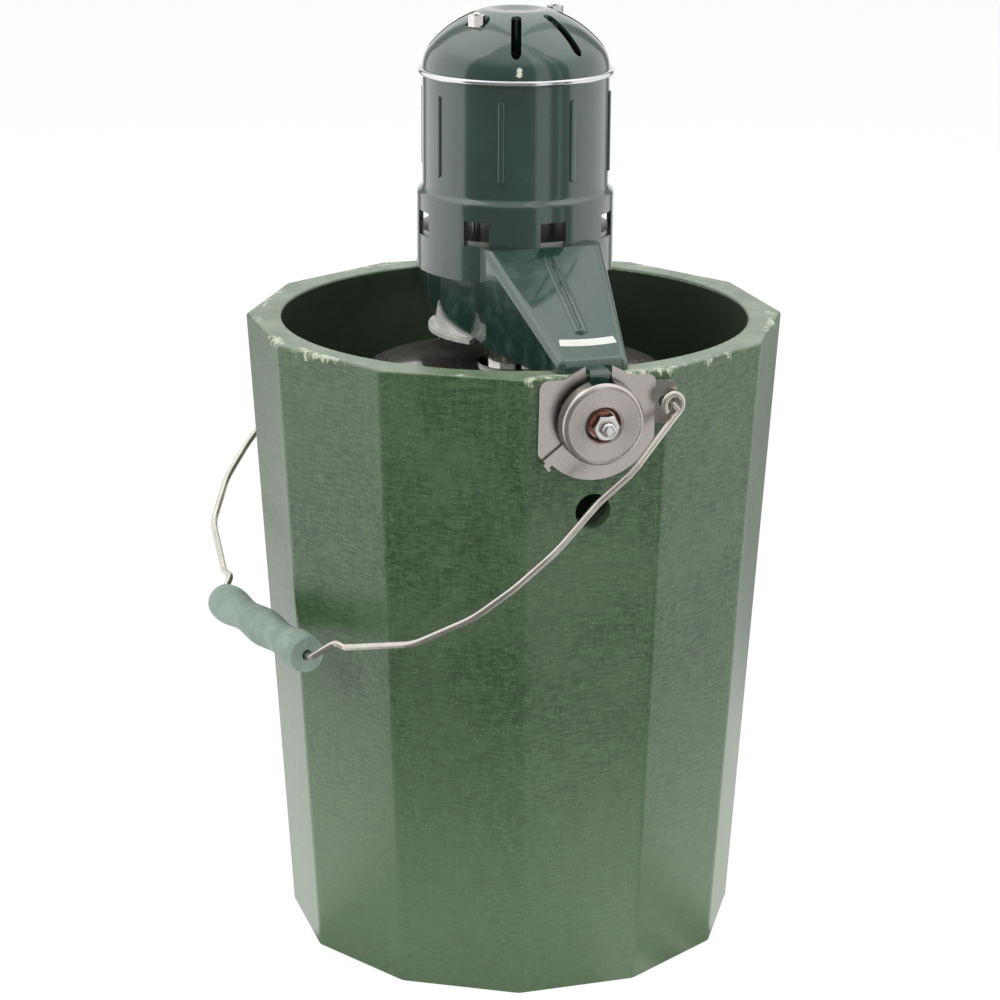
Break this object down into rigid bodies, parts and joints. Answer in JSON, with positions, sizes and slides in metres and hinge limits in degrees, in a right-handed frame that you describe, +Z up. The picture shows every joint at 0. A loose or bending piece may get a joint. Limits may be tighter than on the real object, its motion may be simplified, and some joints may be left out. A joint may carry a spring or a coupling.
{
  "type": "electric ice cream freezer",
  "caption": "Ice cream freezer: faceted tub with an ice space round a spinning can, geared motor drive bridged over the rim, turning side latches and a wire bail.",
  "frame": {"origin": "centre of the tub's flat base", "axes": "+Z up along the can's and motor's axis, the front latch faces -Y, the bail rests on the -X side"},
  "size_m": [0.3262, 0.3461, 0.534],
  "materials": {
    "fibreglass": "satin moulded fibreglass",
    "pivot_plastic": "matte",
    "stainless": "brushed",
    "zinc_steel": "bright zinc plate",
    "fibre": "matte fibre",
    "bail_steel": "dull bright wire",
    "grip_plastic": "matte",
    "drive_enamel": "glossy enamel",
    "bare_casting": "as cast and turned",
    "machined_steel": "machined",
    "trim_chrome": "polished",
    "bearing_bronze": "sintered",
    "laminations": "stacked sheet",
    "copper_winding": "varnished",
    "fan_plastic": "matte",
    "grommet_rubber": "matte",
    "collar_plastic": "matte",
    "can_steel": "satin",
    "lid_plastic": "clear smoky plastic",
    "hub_chrome": "polished",
    "dasher_metal": "cast, satin",
    "scraper_wood": "oiled beech"
  },
  "bodies": {
    "tub": {"tub": "fibreglass", "pivot_cup": "pivot_plastic", "front_bracket": "stainless", "rear_bracket": "stainless", "latch_bolts": "zinc_steel", "fibre_washers": "fibre", "latch_nuts": "zinc_steel"},
    "front_latch": {"front_latch_cup": "stainless", "front_latch_lever": "stainless"},
    "rear_latch": {"rear_latch_cup": "stainless", "rear_latch_lever": "stainless"},
    "bail": {"bail_wire": "bail_steel"},
    "grip": {"bail_grip": "grip_plastic"},
    "drive": {"gear_case": "drive_enamel", "arm_hooks": "drive_enamel", "neck_cover": "bare_casting", "cover_screws": "zinc_steel", "dasher_socket": "machined_steel", "gear_pin": "machined_steel", "motor_plate": "bare_casting", "end_bell": "drive_enamel", "motor_shell": "drive_enamel", "trim_ring": "trim_chrome", "dome_cap": "drive_enamel", "tie_bolts": "zinc_steel", "tie_nuts": "zinc_steel", "shaft_bearings": "bearing_bronze", "stator_core": "laminations", "field_coils": "copper_winding", "cord_grommet": "grommet_rubber", "neck_collar": "collar_plastic"},
    "output": {"output_gear": "machined_steel"},
    "intermediate": {"intermediate_gear": "machined_steel"},
    "rotor": {"motor_shaft": "machined_steel", "rotor_core": "laminations", "motor_pinion": "machined_steel", "cooling_fan": "fan_plastic"},
    "dasher": {"dasher_stem": "dasher_metal", "dasher_frame": "dasher_metal", "scraper_blades": "scraper_wood"},
    "can": {"can": "can_steel", "can_pivot": "can_steel", "dasher_centre_pin": "machined_steel"},
    "lid": {"lid": "lid_plastic", "lid_hub": "hub_chrome"}
  },
  "joints": [
    {"name": "front_latch_turn", "type": "hinge", "parent": "tub", "child": "front_latch", "pos_m": [0, -0.14583, 0.33834], "axis": [0, 0.9983, 0.0576], "range_deg": [0, 90]},
    {"name": "rear_latch_turn", "type": "hinge", "parent": "tub", "child": "rear_latch", "pos_m": [0, 0.14583, 0.33834], "axis": [0, -0.9983, 0.0576], "range_deg": [0, 90]},
    {"name": "bail_swing", "type": "hinge", "parent": "tub", "child": "bail", "pos_m": [0, 0, 0.34554], "axis": [-0.2419, 0.9703, 0], "range_deg": [0, 264]},
    {"name": "grip_turn", "type": "hinge", "parent": "bail", "child": "grip", "pos_m": [-0.15689, -0.03911, 0.20071], "axis": [0.2419, -0.9703, 0], "continuous": true},
    {"name": "drive_lift", "type": "slide", "parent": "tub", "child": "drive", "axis": [0, 0, 1], "range_m": [0, 0.6]},
    {"name": "dasher_lift", "type": "slide", "parent": "tub", "child": "dasher", "axis": [0, 0, 1], "range_m": [0, 0.33]},
    {"name": "can_spin", "type": "hinge", "parent": "dasher", "child": "can", "pos_m": [0, 0, 0.028], "axis": [0, 0, 1], "continuous": true},
    {"name": "lid_lift", "type": "slide", "parent": "can", "child": "lid", "axis": [0, 0, 1], "range_m": [0, 0.12]},
    {"name": "output_turn", "type": "hinge", "parent": "drive", "child": "output", "pos_m": [0, 0, 0.372], "axis": [0, 0, 1], "continuous": true},
    {"name": "intermediate_turn", "type": "hinge", "parent": "drive", "child": "intermediate", "pos_m": [-0.01127, 0.02119, 0.372], "axis": [0, 0, 1], "continuous": true},
    {"name": "rotor_turn", "type": "hinge", "parent": "drive", "child": "rotor", "pos_m": [0, 0, 0.446], "axis": [0, 0, 1], "continuous": true}
  ],
  "couplings": [
    {"joint": "dasher_lift", "follows": "drive_lift", "ratio": 0.55},
    {"joint": "lid_lift", "follows": "drive_lift", "ratio": 0.2},
    {"joint": "output_turn", "follows": "can_spin", "ratio": 1},
    {"joint": "intermediate_turn", "follows": "can_spin", "ratio": -3},
    {"joint": "rotor_turn", "follows": "can_spin", "ratio": 12}
  ]
}
